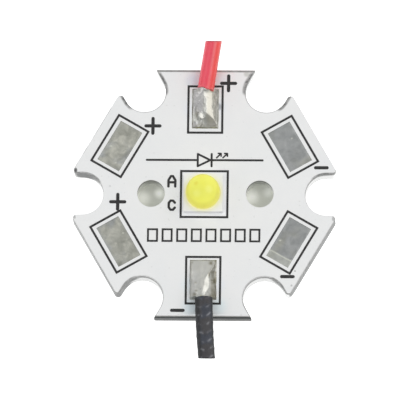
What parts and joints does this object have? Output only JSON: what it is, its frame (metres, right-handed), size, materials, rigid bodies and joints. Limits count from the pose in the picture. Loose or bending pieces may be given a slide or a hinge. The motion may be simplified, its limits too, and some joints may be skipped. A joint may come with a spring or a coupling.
{
  "type": "star pcb power led",
  "caption": "Star-shaped metal-core board carrying a domed power light emitter with tinned pads and two soldered lead stubs; bolts to a heat sink through its edge slots.",
  "frame": {"origin": "centre of the star on the underside of the metal core", "axes": "+Z out of the emitter side along the light's axis, +Y towards the positive red lead, +X to the right of it"},
  "size_m": [0.0208, 0.0263, 0.004],
  "materials": {
    "bare_aluminium": "milled satin",
    "dielectric": "matte",
    "copper_foil": "satin",
    "white_lacquer": "semi-gloss",
    "black_print": "matte",
    "tinned_pad": "dull tin",
    "solder": "bright, uneven",
    "red_sleeve": "semi-gloss",
    "black_sleeve": "satin, ribbed",
    "tinned_strand": "tinned",
    "white_ceramic": "matte",
    "gold_contact": "plated",
    "chip": "polished",
    "phosphor_silicone": "smooth, translucent"
  },
  "bodies": {
    "root": {"aluminium_base": "bare_aluminium", "dielectric_layer": "dielectric", "anode_copper": "copper_foil", "cathode_copper": "copper_foil", "thermal_copper": "copper_foil", "solder_mask": "white_lacquer", "legend_print": "black_print", "upper_left_pad_tin": "tinned_pad", "lower_left_pad_tin": "tinned_pad", "upper_right_pad_tin": "tinned_pad", "lower_right_pad_tin": "tinned_pad", "positive_solder_joint": "solder", "negative_solder_joint": "solder", "red_insulation": "red_sleeve", "red_strands": "tinned_strand", "black_insulation": "black_sleeve", "black_strands": "tinned_strand", "anode_solder_layer": "solder", "thermal_solder_layer": "solder", "cathode_solder_layer": "solder", "anode_contact": "gold_contact", "thermal_contact": "gold_contact", "cathode_contact": "gold_contact", "emitter_carrier": "white_ceramic", "carrier_vias": "gold_contact", "die_pad_metal": "gold_contact", "bond_pad_metal": "gold_contact", "die_attach_layer": "solder", "emitter_die": "chip", "protection_diode": "chip", "bond_wires": "gold_contact", "emitter_dome": "phosphor_silicone"}
  },
  "joints": []
}
